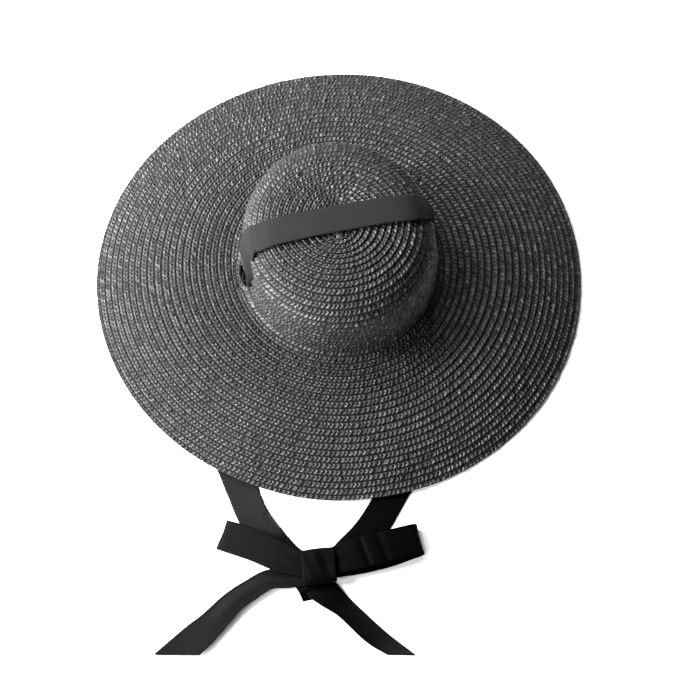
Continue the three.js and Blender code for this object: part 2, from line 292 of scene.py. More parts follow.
# Ribbon. Its colour runs from dark to light with the light painted on each stretch.
RIBBON_DARK = (0.0003, 0.0003, 0.0003, 1)
RIBBON_LIGHT = (0.018, 0.018, 0.0185, 1)
RIBBON_UNEVEN = (0, 1, 0.85, 1.15)  # from the noise, to how much of the painted light shows
RIBBON_SHADER = {
    "Roughness": 0.55,
    "Specular IOR Level": 0.02,
    "Sheen Weight": 0.008,
    "Sheen Roughness": 0.4,
}
FLOOR_COLOUR = (0.95, 0.95, 0.95, 1)
FLOOR_ROUGHNESS = 0.7


def straw_material():
    material, nodes, links, shader = new_material("straw_black")
    tone = add_node(nodes, "ShaderNodeAttribute", attribute_name="tone")
    # painted light: 1 on a plait's top, 0 in the grooves and creases painted in shade
    straw_painted_light = add_node(nodes, "ShaderNodeAttribute", attribute_name="straw_painted_light")
    place = nodes.new("ShaderNodeTexCoord")

    # Patches where the dye took less, and the fine fibre of each straw
    patches = add_node(nodes, "ShaderNodeTexNoise", Scale=22, Detail=4)
    links.new(place.outputs["Object"], patches.inputs["Vector"])
    fibre = add_node(nodes, "ShaderNodeTexNoise", Scale=620, Detail=3, Roughness=0.7)
    links.new(place.outputs["Object"], fibre.inputs["Vector"])

    total = add_node(nodes, "ShaderNodeMath", operation="ADD")
    links.new(tone.outputs["Fac"], total.inputs[0])
    links.new(patches.outputs["Fac"], total.inputs[1])
    scaled = add_node(nodes, "ShaderNodeMath", operation="MULTIPLY")
    scaled.inputs[1].default_value = TONE_SHARE
    links.new(total.outputs[0], scaled.inputs[0])
    colour = nodes.new("ShaderNodeValToRGB")
    dark, light = colour.color_ramp.elements
    dark.position = TONE_DARK_AT
    dark.color = STRAW_DARK
    light.position = 1.0
    light.color = STRAW_LIGHT
    links.new(scaled.outputs[0], colour.inputs["Fac"])

    # Painted shade: grooves and creases are mixed towards the near-black groove colour
    shade = add_node(nodes, "ShaderNodeMix", data_type="RGBA", A=GROOVE_PAINTED_SHADE)
    links.new(straw_painted_light.outputs["Fac"], shade.inputs["Factor"])
    links.new(colour.outputs["Color"], shade.inputs["B"])
    links.new(shade.outputs["Result"], shader.inputs["Base Color"])

    # The grooves are dull, and the light plaits glossier than the dark ones
    rough = map_range(nodes, STRAW_ROUGHNESS)
    links.new(tone.outputs["Fac"], rough.inputs["Value"])
    dull = add_node(nodes, "ShaderNodeMix", data_type="FLOAT", A=1.0)
    links.new(straw_painted_light.outputs["Fac"], dull.inputs["Factor"])
    links.new(rough.outputs["Result"], dull.inputs["B"])
    links.new(dull.outputs["Result"], shader.inputs["Roughness"])

    bump = add_node(nodes, "ShaderNodeBump", Strength=0.8, Distance=0.0007)
    links.new(fibre.outputs["Fac"], bump.inputs["Height"])
    links.new(bump.outputs["Normal"], shader.inputs["Normal"])
    set_inputs(shader, STRAW_SHADER)
    return material


def ribbon_material():
    material, nodes, links, shader = new_material("ribbon_black")
    place = nodes.new("ShaderNodeTexCoord")
    weave = add_node(nodes, "ShaderNodeTexNoise", Scale=1800, Detail=1)
    links.new(place.outputs["Object"], weave.inputs["Vector"])
    patches = add_node(nodes, "ShaderNodeTexNoise", Scale=40)
    links.new(place.outputs["Object"], patches.inputs["Vector"])

    # Painted light: each stretch's colour goes from dark to light with the light that falls on it, broken
    # into patches
    ribbon_painted_light = add_node(nodes, "ShaderNodeAttribute", attribute_name="ribbon_painted_light")
    uneven = map_range(nodes, RIBBON_UNEVEN)
    links.new(patches.outputs["Fac"], uneven.inputs["Value"])
    painted_light_and_patches = add_node(nodes, "ShaderNodeMath", operation="MULTIPLY")
    links.new(ribbon_painted_light.outputs["Fac"], painted_light_and_patches.inputs[0])
    links.new(uneven.outputs["Result"], painted_light_and_patches.inputs[1])
    colour = add_node(nodes, "ShaderNodeMix", data_type="RGBA", A=RIBBON_DARK, B=RIBBON_LIGHT)
    links.new(painted_light_and_patches.outputs[0], colour.inputs["Factor"])
    links.new(colour.outputs["Result"], shader.inputs["Base Color"])

    bump = add_node(nodes, "ShaderNodeBump", Strength=0.3, Distance=0.0001)
    links.new(weave.outputs["Fac"], bump.inputs["Height"])
    links.new(bump.outputs["Normal"], shader.inputs["Normal"])
    set_inputs(shader, RIBBON_SHADER)
    return material


def floor_material():
    material, _, _, shader = new_material("floor_white")
    set_inputs(shader, {"Base Color": FLOOR_COLOUR, "Roughness": FLOOR_ROUGHNESS})
    return material


STRAW = straw_material()
RIBBON = ribbon_material()

# ---------------------------------------------------------------- braid

# The strip is a flat plait. Each of its facets is FACET long and slants one way on the inner part of the
# row and the other way on the outer part, so that two rows of small plaits meet in a V.
FACET = 4.2
OVERLAP = 0.15  # of a row, tucked under the row before
SLANT = math.tan(math.radians(38))
MIDDLE = 0.42  # where the two slants meet, as a share of the row
# Places along a facet, the first in the crease between two, and how they stand out
COLUMN_AT = np.array([0.0, 0.15, 0.5, 0.85])
COLUMN_RISE = np.array([-0.66, 0.04, 0.32, 0.02])
# The braid's section: share of the row from its inner edge, height, how much the plait shows there
SECTION = np.array([
    (-OVERLAP, -0.75, 0.0),
    (0.08, -0.85, 0.0),
    (0.19, 0.0, 0.7),
    (0.31, 0.34, 1.1),
    (0.44, -0.14, 0.7),
    (0.60, 0.55, 1.2),
    (0.79, 1.10, 1.3),
    (0.985, 0.40, 0.4),
    (0.965, -0.50, 0.0),
    (0.70, -0.80, -0.6),
    (0.38, -1.05, -0.5),
    (0.05, -1.40, 0.0),
])
SECTION_CAPS = np.array([(0, 1, 10, 11), (1, 2, 9, 10), (2, 3, 8, 9), (3, 4, 7, 8), (4, 5, 6, 7)])
# How light the section's places are painted: the groove between two rows is painted in shade
SECTION_PAINTED_LIGHT = np.array([0.0, 0.0, 0.1, 1.25, 0.75, 1.3, 1.15, 0.1, 0.0, 0.0, 0.0, 0.0])
# How much painted shade a crease puts on the section's places: most of all where the two slants meet
CREASE_PAINTED_SHADE = np.array([0.0, 0.0, 0.9, 1.0, 1.9, 1.0, 0.8, 0.9, 0.0, 0.0, 0.0, 0.0])
# The painted light on a plait, before its creases darken it
PLAIT_PAINTED_LIGHT = 0.85
SURFACE_LEVEL = -1.0  # the section's zero, from the CAD's outer face
# How unevenly the facets lie: their places along the row, their height, tilt and twist, and their tone
JITTER = 0.14
STAND = 0.2
TILT = 0.7
TWIST = 0.55
TWIST_ABOUT = 0.6  # share of the row
TONE_MEAN = 0.45
TONE_SPREAD = 0.3
# The rows' own slow waves
WAVE = 0.12
WAVE_LENGTH = 31
WAVE_DRIFT = 97
FULL_WIDTH = 4  # rows narrower than this are thinner too
THINNEST = 0.3
LEAST_RADIUS = 3  # nearer the middle, the plaits slant as they do here
TURN_STATIONS = 720  # places along each turn that its length is measured over
NUDGE = 0.01  # steps that a surface's slope is taken over, along it and round it
NUDGE_ANGLE = 1e-4


def row_width(surface, inner_at, outer_at, angle):
    """How wide a row is between two places on a surface."""
    return np.linalg.norm(surface(outer_at, angle) - surface(inner_at, angle), axis=-1)


def braid(names, cuts, surface, inner, outer, turns, start_angle, parting):
    """A strip of plaited straw wound clockwise on a surface, in several pieces in a row.

    inner(turn) and outer(turn) say where the strip's two edges lie along the surface. turns is the
    first and last turn, and cuts the turns between one piece and the next. parting moves the places
    of rows that part round an opening.
    """
    fine = np.linspace(turns[0], turns[1], int((turns[1] - turns[0]) * TURN_STATIONS) + 2)
    middle = surface((inner(fine) + outer(fine)) / 2, start_angle - fine * TAU)
    length = distances(middle)
    count = int(length[-1] / FACET)
    per = len(COLUMN_AT)
    facet = np.repeat(np.arange(count), per)
    column = np.tile(np.arange(per), count)
    place = (facet + COLUMN_AT[column] + JITTER * rng.standard_normal(count)[facet]) * FACET
    place = np.sort(np.clip(place, 0, length[-1]))
    share, height, relief = SECTION.T

    turn = np.interp(place, length, fine)
    position = surface((inner(turn) + outer(turn)) / 2, start_angle - turn * TAU)
    radius = np.maximum(np.hypot(position[:, 0], position[:, 1]), LEAST_RADIUS)
    widths = row_width(surface, inner(fine), outer(fine), start_angle - fine * TAU)
    width = np.interp(turn, fine, widths)

    # Outwards the plait first runs back against the winding, then on with it
    clipped = np.clip(share, 0, 1)
    lean = np.where(clipped < MIDDLE, -clipped, clipped - 2 * MIDDLE) * SLANT
    shift = lean[None, :] * width[:, None] / radius[:, None] / TAU
    turned = np.clip(turn[:, None] + shift, turns[0], turns[1])
    low, high = inner(turned), outer(turned)
    along = parting(low + (high - low) * share[None, :], turned, share[None, :])
    angle = start_angle - turned * TAU

    # Each facet stands a little differently
    first, second, third = rng.standard_normal((3, count))[:, facet]
    on_first = share[None, :] < MIDDLE
    stand = np.where(on_first, first[:, None], second[:, None])
    tilt = np.where(on_first, second[:, None], first[:, None])
    across = (COLUMN_AT[column] - 0.5)[:, None] * (column > 0)[:, None]
    twist = third[:, None] * (clipped - TWIST_ABOUT)[None, :]
    rise = relief[None, :] * (
        COLUMN_RISE[column][:, None] + STAND * stand + TILT * tilt * across + TWIST * twist
    )
    slow = WAVE * np.sin(place / WAVE_LENGTH + 2 * np.sin(place / WAVE_DRIFT))[:, None]
    thin = np.clip(width / FULL_WIDTH, THINNEST, 1)[:, None]
    lift = (height[None, :] + rise) * thin + slow + SURFACE_LEVEL

    point = surface(along, angle)
    east = surface(along + NUDGE, angle) - surface(along - NUDGE, angle)
    north = surface(along, angle + NUDGE_ANGLE) - surface(along, angle - NUDGE_ANGLE)
    normal = np.cross(east, north)
    normal /= np.linalg.norm(normal, axis=-1, keepdims=True)
    point = point + normal * lift[..., None]
    tone = np.clip(TONE_MEAN + TONE_SPREAD * stand, 0, 1)
    # Painted light, less in the creases and none in the grooves between rows, which are painted in shade
    straw_painted_light = np.clip((PLAIT_PAINTED_LIGHT + CREASE_PAINTED_SHADE * rise) * SECTION_PAINTED_LIGHT, 0, 1)

    around = len(SECTION)
    ends = [0, *(int(np.searchsorted(turn, cut)) for cut in cuts), len(turn) - 1]
    pieces = []
    for name, start, stop in zip(names, ends, ends[1:]):
        part = slice(start, stop + 1)
        columns = stop + 1 - start
        last = SECTION_CAPS[:, ::-1] + (columns - 1) * around
        quads = np.concatenate([tube_quads(columns, around), SECTION_CAPS, last])[:, ::-1]
        attributes = {"tone": tone[part], "straw_painted_light": straw_painted_light[part]}
        piece = add_mesh(name, point[part].reshape(-1, 3), quads, attributes)
        piece.data.materials.append(STRAW)
        pieces.append(piece)
    return pieces


# ---------------------------------------------------------------- crown and brim of braid

# Distance from the middle of the top where each row of the crown starts, straight in front
ROW_PITCH = 6.4
CROWN_ROWS = [
    *(ROW_PITCH * row for row in range(8)),
    50.1, 55.6, 61.7, 67.7, 74.3, 81,
    *(87.4 + ROW_PITCH * row for row in range(12)),
]
SPIRAL_START = math.radians(-90)
BRAID_PIECES = [
    "crown_braid_top",
    "crown_braid_wall",
    "brim_braid_inner",
    "brim_braid_middle",
    "brim_braid_outer",
]
BRAID_CUTS = [14.5, 25.5, 34.5, 41]  # the turns where one piece ends and the next starts
BRAID_ENDS = (0.02, 0.12)  # the turns left off at the start and the end
# The braid starts in a folded nub that lies from front to back, and its first turns run round that
FIRST_TURN_STRETCH = 12.5
FIRST_TURN_REACH = 45
FIRST_TURN_POWER = 1.25
STRETCH_TOWARDS = math.radians(-102)
START_AT = (-0.8, -6)
START_HALF = (15.2, 4.8)
START_TOWARDS = math.radians(-98)
START_SQUARE = 0.8  # 1 is an ellipse, less is squarer
START_FACET = 3.2
START_LEVEL = -1.1  # of its edge, from the crown's top
START_DOME = 1.8
START_RELIEF = 0.2
START_BOTTOM = -2.2
# Painted light on the nub: its tone is set well above the braid's so that it shows lit, and higher on its
# ridges
START_PAINTED_TONE = (0.9, 0.1)  # on average, and how much more on a plait
# Painted light on the nub's plaits, a little less in their creases; its underside is painted in shade
START_PAINTED_LIGHT = (0.95, 0.05)
START_ROUND = 72  # points round it
START_RINGS = 14
START_INNER = 0.02
# Rows per unit of the brim's share, by thirds
BRIM_ROWS_AT = (0, 0.32, 0.34, 0.64, 0.66, 1)
BRIM_ROWS = (20.4, 20.4, 19.3, 19.3, 22.7, 22.7)
BRIM_SPAN = 126  # sewn distance across the brim
BRIM_STATIONS = 2000
ROUND_ROWS = (90, 160)  # the rows' own outline turns from round to the crown's oval between these
# The wall is pressed in above the left slit
DENT = 5.0
DENT_AZIMUTH = math.radians(-173)
DENT_HALF_ANGLE = math.radians(17)
DENT_FROM = (88, 112)
DENT_TO = (149.5, 156.5)
SLIT_HALF_LENGTH = 15.5
SLIT_HALF_HEIGHT = 1.7
SLIT_MIDDLE = 34.8
LEFT_GAPE = 6.2
LEFT_GAPE_BACK = 4.0
TUCK = 5  # how far a row's hidden edge stays up behind the row above, where they part
TURN_PER_MM = 1 / (WALL_FOOT_REACH * FOOT_OVAL) / TAU
# Azimuth of each slit, how far the row below it gives way, and how far round that is shifted
SLITS = ((0, SLIT_HALF_HEIGHT, 0), (math.pi, LEFT_GAPE, LEFT_GAPE_BACK * TURN_PER_MM))


def wall_dent(place, angle):
    """How far the pull of the ribbon presses the wall in, above the left slit."""
    turn = np.mod(angle - DENT_AZIMUTH + math.pi, TAU) - math.pi
    window = np.cos(np.clip(turn / DENT_HALF_ANGLE, -1, 1) * math.pi / 2) ** 2
    return DENT * window * smooth(place, *DENT_FROM) * (1 - smooth(place, *DENT_TO))


def hat_surface(place, angle):
    """The hat's outer face: place is the sewn distance from the middle of the top to the brim's edge."""
    stretch = FIRST_TURN_STRETCH * np.clip(1 - place / FIRST_TURN_REACH, 0, 1) ** FIRST_TURN_POWER
    stretched = place + stretch * np.cos(angle - STRETCH_TOWARDS) ** 2
    distance, reach, _, oval = PROFILE
    narrow = 1 - 1 / np.hypot(np.cos(angle) / np.interp(stretched, distance, oval), np.sin(angle))
    round_share = 1 - smooth(place, *ROUND_ROWS)
    along = stretched + np.interp(stretched, distance, reach) * narrow * round_share
    crown = crown_surface(np.minimum(along, CROWN_LENGTH), angle)
    radius = np.maximum(np.hypot(crown[..., 0], crown[..., 1]), 1)
    crown[..., :2] *= 1 - (wall_dent(place, angle) / radius)[..., None]
    brim = brim_surface(np.maximum(place - CROWN_LENGTH, 0) / BRIM_SPAN, angle)
    return np.where(np.asarray(place <= CROWN_LENGTH)[..., None], crown, brim)


def row_starts():
    """Where each row of the spiral starts, in order, the last one at the brim's edge."""
    share = np.linspace(0, 1, BRIM_STATIONS)
    rate = np.interp(share, BRIM_ROWS_AT, BRIM_ROWS)
    rows = np.concatenate([[0], np.cumsum((rate[1:] + rate[:-1]) / 2 * np.diff(share))])
    foot = len(CROWN_ROWS)
    whole = np.arange(1, int(rows[-1]) + 1)
    brim = np.interp(whole, rows, share) * BRIM_SPAN + CROWN_LENGTH
    turns = np.concatenate([np.arange(foot + 1), foot + whole, [foot + rows[-1]]])
    places = np.concatenate([CROWN_ROWS, [CROWN_LENGTH], brim, [CROWN_LENGTH + BRIM_SPAN]])
    return turns, places


ROW_TURNS, ROW_PLACES = row_starts()


def row_inner(turn):
    return np.interp(turn, ROW_TURNS, ROW_PLACES)


def row_outer(turn):
    return np.interp(turn + 1, ROW_TURNS, ROW_PLACES)


def slit_turn(azimuth):
    """The turn whose row starts nearest the slit's height at an azimuth."""
    wanted = np.interp(-SLIT_MIDDLE, -PROFILE[2], PROFILE[0])
    turns = (SPIRAL_START - azimuth) / TAU % 1 + np.arange(len(CROWN_ROWS))
    return turns[np.argmin(np.abs(row_inner(turns) - wanted))]


def part_rows(along, turn, share):
    """Rows part above and below each slit. The left one gapes, most of all towards the back."""
    half = SLIT_HALF_LENGTH * TURN_PER_MM
    inside = np.clip(share, 0, 1)
    for azimuth, gape_below, shift in SLITS:
        middle = slit_turn(azimuth)
        # which row, how far its inner and outer edges move, and how far round the opening is shifted
        for row, at_inner, at_outer, shifted in (
            (-1, 0, -SLIT_HALF_HEIGHT, 0),
            (0, gape_below, gape_below / 2, shift),
            (1, gape_below / 2, 0, shift),
        ):
            away = np.abs(turn - middle - row - shifted) / half
            opening = np.sqrt(np.clip(1 - away**2, 0, 1))
            tucked = np.clip(-share, 0, 1) * TUCK * (row == 0) * (away < 1)
            along = along + opening * (at_inner + (at_outer - at_inner) * inside) + tucked
    return along


def hat_braid():
    """One braid sewn round from the middle of the top to the brim's edge."""
    turns = (BRAID_ENDS[0], ROW_TURNS[-1] - BRAID_ENDS[1])
    pieces = braid(
        BRAID_PIECES, BRAID_CUTS, hat_surface, row_inner, row_outer, turns, SPIRAL_START, part_rows
    )
    for piece in pieces:
        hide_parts("crown" if "crown" in piece.name else "brim")


def braid_start():
    """The braid's own end, folded to a rounded nub that the first turn runs round."""
    angle = np.linspace(0, TAU, START_ROUND, endpoint=False)[None, :]
    out = np.linspace(START_INNER, 1, START_RINGS)[:, None]
    ahead = START_HALF[0] * out * np.cos(angle)
    aside = START_HALF[1] * out * np.sign(np.sin(angle)) * np.abs(np.sin(angle)) ** START_SQUARE
    plait = np.cos((ahead + np.abs(aside) * SLANT) * TAU / START_FACET)
    dome = np.sqrt(np.clip(1 - out**2, 0, 1))
    c, s = math.cos(START_TOWARDS), math.sin(START_TOWARDS)
    top = np.stack([
        START_AT[0] + ahead * c - aside * s,
        START_AT[1] + ahead * s + aside * c,
        CROWN_TOP + START_LEVEL + (START_DOME + START_RELIEF * plait) * dome,
    ], -1)
    under = top[::-1].copy()
    under[..., 2] = CROWN_TOP + START_BOTTOM
    points = np.concatenate([top, under])
    rows, around = points.shape[:2]
    quads = np.concatenate([tube_quads(rows, around), joining_quads(rows, around)])
    # The nub's top gets painted light, more on its ridges, and its underside painted shade
    tone = np.concatenate([START_PAINTED_TONE[0] + START_PAINTED_TONE[1] * plait, 0 * plait])
    straw_painted_light = np.concatenate([START_PAINTED_LIGHT[0] + START_PAINTED_LIGHT[1] * plait, 0 * plait])
    attributes = {"tone": tone, "straw_painted_light": straw_painted_light}
    piece = add_mesh("crown_braid_start", points.reshape(-1, 3), quads, attributes)
    piece.data.materials.append(STRAW)
    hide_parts("crown")


hat_braid()
braid_start()

# ---------------------------------------------------------------- ribbon

# W and F are short for the tables below
W = RIBBON_WIDTH
F = 0.8  # level of the middle of ribbon that lies on the floor
FLOOR_CLEAR = 0.35  # the lowest that a ribbon's middle runs
RIBBON_THICKNESS = 0.6
RIBBON_EDGE = 0.55  # thickness of its edges, as a share
RIBBON_STEP = 1.0  # between stations along a ribbon
LEAST_STATIONS = 8
ACROSS = 20  # strips across a ribbon
ROW_STEPS = 40  # places worked out for each row of a stretch's table
SOFTEN_REACH = 16  # of those places, either way
END_STEPS = 1200  # places tried for where a ribbon is cut
# Where a ribbon is narrower than its full width, the spare width stands up in pleats
PLEAT_HEIGHT = 2.4
MOST_SPARE = 0.6
PLEAT_ONSET = 6
# Everywhere it is a little cupped and wavy
CUP = 0.25
RIPPLE = 0.12
RIPPLE_LENGTH = 9


def turn_matrix(turn):
    """A turn about the vertical, for rows of points."""
    c, s = math.cos(turn), math.sin(turn)
    return np.array([[c, -s, 0], [s, c, 0], [0, 0, 1]]).T


def centripetal(points, place):
    """three.js's centripetal Catmull-Rom curve, so a ribbon runs where its CAD solid runs."""
    row = min(int(place), len(points) - 2)
    weight = place - row
    p1, p2 = points[row], points[row + 1]
    p0 = points[row - 1] if row > 0 else 2 * points[0] - points[1]
    p3 = points[row + 2] if row + 2 < len(points) else 2 * points[-1] - points[-2]
    d0, d1, d2 = (np.sqrt(np.linalg.norm(b - a)) for a, b in ((p0, p1), (p1, p2), (p2, p3)))
    t1 = ((p1 - p0) / d0 - (p2 - p0) / (d0 + d1) + (p2 - p1) / d1) * d1
    t2 = ((p2 - p1) / d1 - (p3 - p1) / (d1 + d2) + (p3 - p2) / d2) * d1
    return (
        p1 + t1 * weight + (3 * p2 - 3 * p1 - 2 * t1 - t2) * weight**2
        + (2 * p1 - 2 * p2 + t1 + t2) * weight**3
    )


def soften(values):
    """Values along a ribbon, without corners."""
    window = np.hanning(2 * SOFTEN_REACH + 1)
    padded = np.pad(values, SOFTEN_REACH, mode="edge")
    return np.convolve(padded, window / window.sum(), mode="valid")


class Stretch:
    """A stretch of ribbon on a smooth curve through a table's rows.

    Columns: x, y, z of the middle, heading of the direction across it, its tilt above level, width.
    A place on it is an along from 0 to the last row's number and a side from -1 to 1. turned and moved
    place its table's own frame in the hat's, pleats is how many half waves lie across it, and phase
    shifts them. Each crease is a line from one (along, side) to another, with its height and half width.
    """

    def __init__(self, table, turned=0.0, moved=(0, 0), pleats=1.5, phase=0.0, creases=()):
        rows = np.array(table, float)
        self.last = len(rows) - 1
        self.knots = np.linspace(0, self.last, int(self.last * ROW_STEPS) + 1)
        middle = np.array([centripetal(rows[:, :3], place) for place in self.knots])
        self.middle = middle @ turn_matrix(math.radians(turned)) + np.array([*moved, 0])
        self.length = distances(self.middle)
        number = np.arange(len(rows))
        heading, tilt, self.width = (
            soften(np.interp(self.knots, number, rows[:, column])) for column in (3, 4, 5)
        )
        heading, tilt = np.radians(heading + turned), np.radians(tilt)
        level = np.cos(tilt)
        across = np.stack([level * np.cos(heading), level * np.sin(heading), np.sin(tilt)], -1)
        forward = np.gradient(self.middle, axis=0)
        forward /= np.linalg.norm(forward, axis=1, keepdims=True)
        face = np.cross(forward, across)
        self.face = face / np.linalg.norm(face, axis=1, keepdims=True)
        self.across = np.cross(self.face, forward)
        self.pleats = pleats
        self.phase = phase
        self.creases = creases

    def vectors(self, along, values):
        """Vectors at arrays of alongs."""
        return np.stack([np.interp(along, self.knots, column) for column in values.T], -1)

    def at(self, along, side):
        """Points at arrays of alongs and sides, with the pleats, the creases and the floor below."""
        width = np.interp(along, self.knots, self.width)
        length = np.interp(along, self.knots, self.length)
        spare = np.clip(1 - width / W, 0, MOST_SPARE)
        wave = np.cos(self.pleats * math.pi * side + self.phase)
        rise = PLEAT_HEIGHT * np.sqrt(spare) * wave * np.minimum(spare * PLEAT_ONSET, 1)
        rise += CUP * (1 - side**2) + RIPPLE * np.sin(length / RIPPLE_LENGTH + self.phase + 2 * side)
        for a0, s0, a1, s1, height, half in self.creases:
            start = np.array([np.interp(a0, self.knots, self.length), s0 * W / 2])
            end = np.array([np.interp(a1, self.knots, self.length), s1 * W / 2])
            line = end - start
            here = np.stack([length - start[0], side * width / 2 - start[1]], -1)
            share = np.clip((here @ line) / (line @ line), 0, 1)
            away = np.linalg.norm(here - share[..., None] * line, axis=-1)
            rise = rise + height * np.exp(-((away / half) ** 2))
        points = (
            self.vectors(along, self.middle)
            + self.vectors(along, self.across) * (side * width / 2)[..., None]
            + self.vectors(along, self.face) * rise[..., None]
        )
        points[..., 2] = np.maximum(points[..., 2], FLOOR_CLEAR)
        return points

    def grid(self, beyond=None):
        """The whole stretch as rows of points, cut where beyond(points) turns positive."""
        side = np.linspace(-1, 1, ACROSS + 1)
        ends = np.full(ACROSS + 1, float(self.last))
        if beyond is not None:
            fine = np.linspace(0, self.last, END_STEPS)
            for k, s in enumerate(side):
                past = beyond(self.at(fine, np.full(len(fine), s))) > 0
                ends[k] = fine[np.argmax(past)] if past.any() else self.last
        # Equal steps of length, not of row number
        count = max(int(self.length[-1] / RIBBON_STEP), LEAST_STATIONS)
        places = np.interp(np.linspace(0, self.length[-1], count), self.length, self.knots)
        along = places[:, None] / self.last * ends[None, :]
        return self.at(along, np.broadcast_to(side, along.shape))


# Painted light: how much lighter each stretch is coloured, from the darkest, as the light falls on it: lit
# on the left, in shade on the right
STRETCH_PAINTED_LIGHT = {
    "crown_ribbon": 0.86,
    "tie_left": 0.58,
    "bow_loop_left": 0.18,
    "bow_tail_left": 0.27,
    "bow_knot": 0.03,
    "bow_loop_right": 0.01,
    "tie_right": 0.0,
    "bow_tail_right": 0.0,
    "bow_tail_right_fold": 0.0,
}
# Painted shade where a stretch turns away from the light: along which axis, from and to where, and how
# much of its painted light is left there
PAINTED_SHADE_TURNING_AWAY = {
    "crown_ribbon": (0, 78, 88, 0.1),
    "tie_left": (1, -240, -254, 0.2),
}


def sheet_mesh(name, grid, closed=False):
    """A thin closed shell of ribbon round a grid of points; the ends are joined where closed."""
    rows, columns = grid.shape[:2]
    if closed:
        down = np.roll(grid, -1, 0) - np.roll(grid, 1, 0)
    else:
        down = np.gradient(grid, axis=0)
    normal = np.cross(down, np.gradient(grid, axis=1))
    normal /= np.linalg.norm(normal, axis=-1, keepdims=True)
    thickness = np.ones(columns)
    thickness[[0, -1]] = RIBBON_EDGE
    offset = normal * (RIBBON_THICKNESS / 2 * thickness)[None, :, None]
    ring = np.concatenate([grid + offset, (grid - offset)[:, ::-1]], axis=1)
    around = 2 * columns
    ends = joining_quads(rows, around) if closed else strip_caps(rows, columns)
    quads = np.concatenate([tube_quads(rows, around), ends])
    stretch = name.removesuffix("_cloth")
    # Painted light on each stretch, and painted shade where it turns away from the light
    ribbon_painted_light = np.full(rows * around, STRETCH_PAINTED_LIGHT[stretch])
    if stretch in PAINTED_SHADE_TURNING_AWAY:
        axis, first, last, stays = PAINTED_SHADE_TURNING_AWAY[stretch]
        ribbon_painted_light *= 1 - (1 - stays) * smooth(ring[..., axis].ravel(), first, last)
    piece = add_mesh(name, ring.reshape(-1, 3), quads[:, ::-1], {"ribbon_painted_light": ribbon_painted_light})
    piece.data.materials.append(RIBBON)
    return piece


def lay_ribbon(name, stretch, part=None, beyond=None):
    """A stretch of ribbon in place of a CAD solid, the one of its own name unless part says which."""
    grid = stretch.grid(beyond)
    piece = sheet_mesh(name, grid)
    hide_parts(part or name.removesuffix("_cloth"))


# From each slit down inside the crown, out under the brim and on to the knot
TIE_LEFT = [
    (-87.9, 0, 30.2, 90, 0, W),
    (-88.1, 0, 24.5, 96, 0, W),
    (-89.2, -2, 16, 114, 0, W),
    (-92.5, -7, 8, 131, 0, W),
    (-99, -16, 2.6, 141, 0, W),
    (-109, -31, F, 147, 0, W),
    (-124, -60, F, 156, 0, W),
    (-136, -94, F, 166, 0, W),
    (-142, -128, F, 177, 0, W),
    (-141, -154, F, 186, 0, W),
    (-136.5, -177, F, 192, 0, W),
    (-131.5, -203, F, 193, 0, W),
    (-126.3, -227, 1.4, 198, 0, W),
    (-114, -251, 1.9, 210, 0, 25),
    (-100, -269.5, 1.8, 218, 0, 19),
    (-88.5, -279.5, 3, 222, 0, 12),
]
TIE_RIGHT = [
    (87.9, 0, 30.2, 90, 0, W),
    (88.1, 0, 24.5, 84, 0, W),
    (89.2, -2.4, 16, 60, 0, W),
    (92.5, -9, 8, 38, 0, W),
    (97.5, -20, 2.6, 20, 0, W),
    (102, -38, F, 3, 0, W),
    (101, -68, F, -12, 0, W),
    (89, -105, F, -23, 0, W),
    (71, -141, F, -31, 0, W),
    (50, -173, F, -37, 0, W),
    (27, -201.5, F, -41, 0, W),
    (4.6, -226.8, F, -42, 0, W),
    (-10.8, -244.3, F, -43, 0, W),
    (-29.4, -262.6, F, -48, 0, W),
    (-53.5, -277.5, 1.6, -57, 0, 24),
    (-68, -287, 3.2, -60, 0, 16),
]
# Pieces of the bow, in the bow's own frame. A loop leaves the knot on its lower layer, turns back at
# its end and comes home on its upper layer.
LOOP_LEFT = [
    (-8, 1, 5.6, 76, 0, 20),
    (-20, 6.5, 4.8, 72, 0, 23),
    (-38, 13.6, 3.4, 69, 0, 27),
    (-60, 21.8, 2.6, 69, 0, W),
    (-75, 27, 2.6, 69.5, 0, W),
    (-82.1, 29.2, 3.2, 70, 0, W),
    (-84.1, 29.6, 4.8, 70, 0, W),
    (-82.1, 28.8, 6.4, 70, 0, W),
    (-72, 25.2, 8.6, 70, 0, W),
    (-54, 17.6, 10.8, 68, 0, W),
    (-36, 9, 11.8, 70, 0, 27),
    (-20, 2.6, 10.6, 73, 0, 23),
    (-8, 0, 8.4, 76, 0, 20),
]
LOOP_RIGHT = [
    (8, 1.5, 5.2, -76, 0, 22),
    (18, 3.4, 4.6, -75, 0, 25),
    (36, 7.6, 3.4, -75, 0, W),
    (61, 14, 2.6, -76, 0, W),
    (82, 21.5, 2.6, -76.5, 0, W),
    (89.4, 24, 3.4, -77, 0, W),
    (91.6, 25, 5.8, -77, 0, W),
    (89.6, 25, 8.4, -77, 0, W),
    (81, 22.6, 10.4, -76.5, 0, W),
    (62, 17, 12.8, -76, 0, W),
    (38, 10.4, 13.2, -75, 0, W),
    (20, 5.6, 11.2, -75, 0, 26),
    (8, 3, 8.8, -76, 0, 22),
]
TAIL_LEFT = [
    (-8, -9.6, 4.2, 76, 0, 12),
    (-24, -9.4, 3.4, 84, -8, 18),
    (-41.8, -10.3, 3.4, 94, -14, 20),
    (-57.8, -19.6, 3.2, 121, -14, 21),
    (-73.3, -30.8, 3.2, 130, -14, 22),
    (-91, -50, 2.4, 130, -8, 25),
    (-104.4, -62.8, 2.4, 131, -8, W),
    (-129.7, -85.8, F, 132, 0, W),
]
